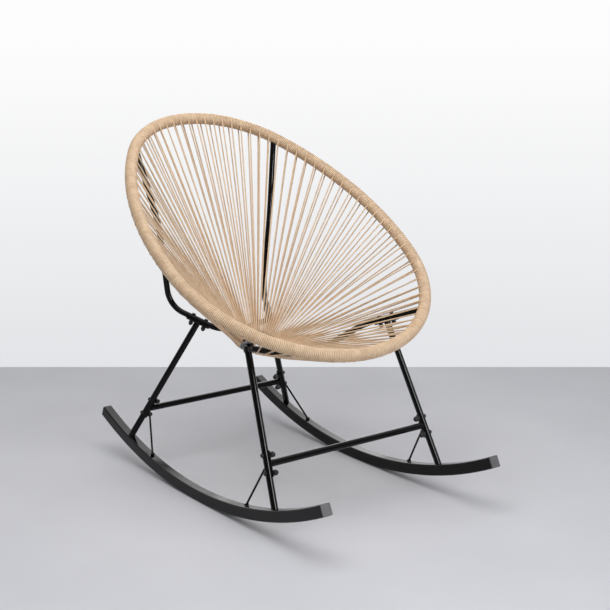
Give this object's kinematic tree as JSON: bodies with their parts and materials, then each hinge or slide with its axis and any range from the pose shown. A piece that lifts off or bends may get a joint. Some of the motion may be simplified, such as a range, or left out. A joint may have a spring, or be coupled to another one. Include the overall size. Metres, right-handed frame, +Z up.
{
  "type": "rocking chair",
  "caption": "Rocking chair whose egg-shaped rim is strung with cord into a bucket seat, on a black steel tube frame with bent legs, stretchers and curved rockers.",
  "frame": {"origin": "on the floor, under the middle of the chair's bounding box", "axes": "+Z up, the chair faces -Y, +X to the right as seen from in front"},
  "size_m": [0.7284, 0.9714, 0.8927],
  "materials": {
    "frame": "satin black powder coat",
    "cord": "round synthetic cord, natural beige",
    "plug": "moulded dark grey",
    "fastener": "blackened"
  },
  "bodies": {
    "root": {"back_tube": "frame", "brace_feet": "frame", "cords_back_left": "cord", "cords_back_right": "cord", "cords_front_left": "cord", "cords_front_right": "cord", "cords_side_left": "cord", "cords_side_right": "cord", "front_brace_left": "frame", "front_brace_right": "frame", "front_leg_left": "frame", "front_leg_right": "frame", "front_seat_plate_left": "frame", "front_seat_plate_right": "frame", "front_stretcher": "frame", "front_stretcher_plate_left": "frame", "front_stretcher_plate_right": "frame", "front_tube": "frame", "rear_brace_left": "frame", "rear_brace_right": "frame", "rear_leg_left": "frame", "rear_leg_right": "frame", "rear_seat_plate_left": "frame", "rear_seat_plate_right": "frame", "rear_stretcher": "frame", "rear_stretcher_plate_left": "frame", "rear_stretcher_plate_right": "frame", "rim_hoop": "frame", "rim_winding_front": "cord", "rim_winding_left": "cord", "rim_winding_right": "cord", "rim_winding_top": "cord", "rocker_left": "frame", "rocker_plugs": "plug", "rocker_right": "frame", "seat_bolts": "fastener", "seat_nuts": "fastener", "seat_ring": "frame", "stretcher_bolts": "fastener", "stretcher_nuts": "fastener"}
  },
  "joints": []
}
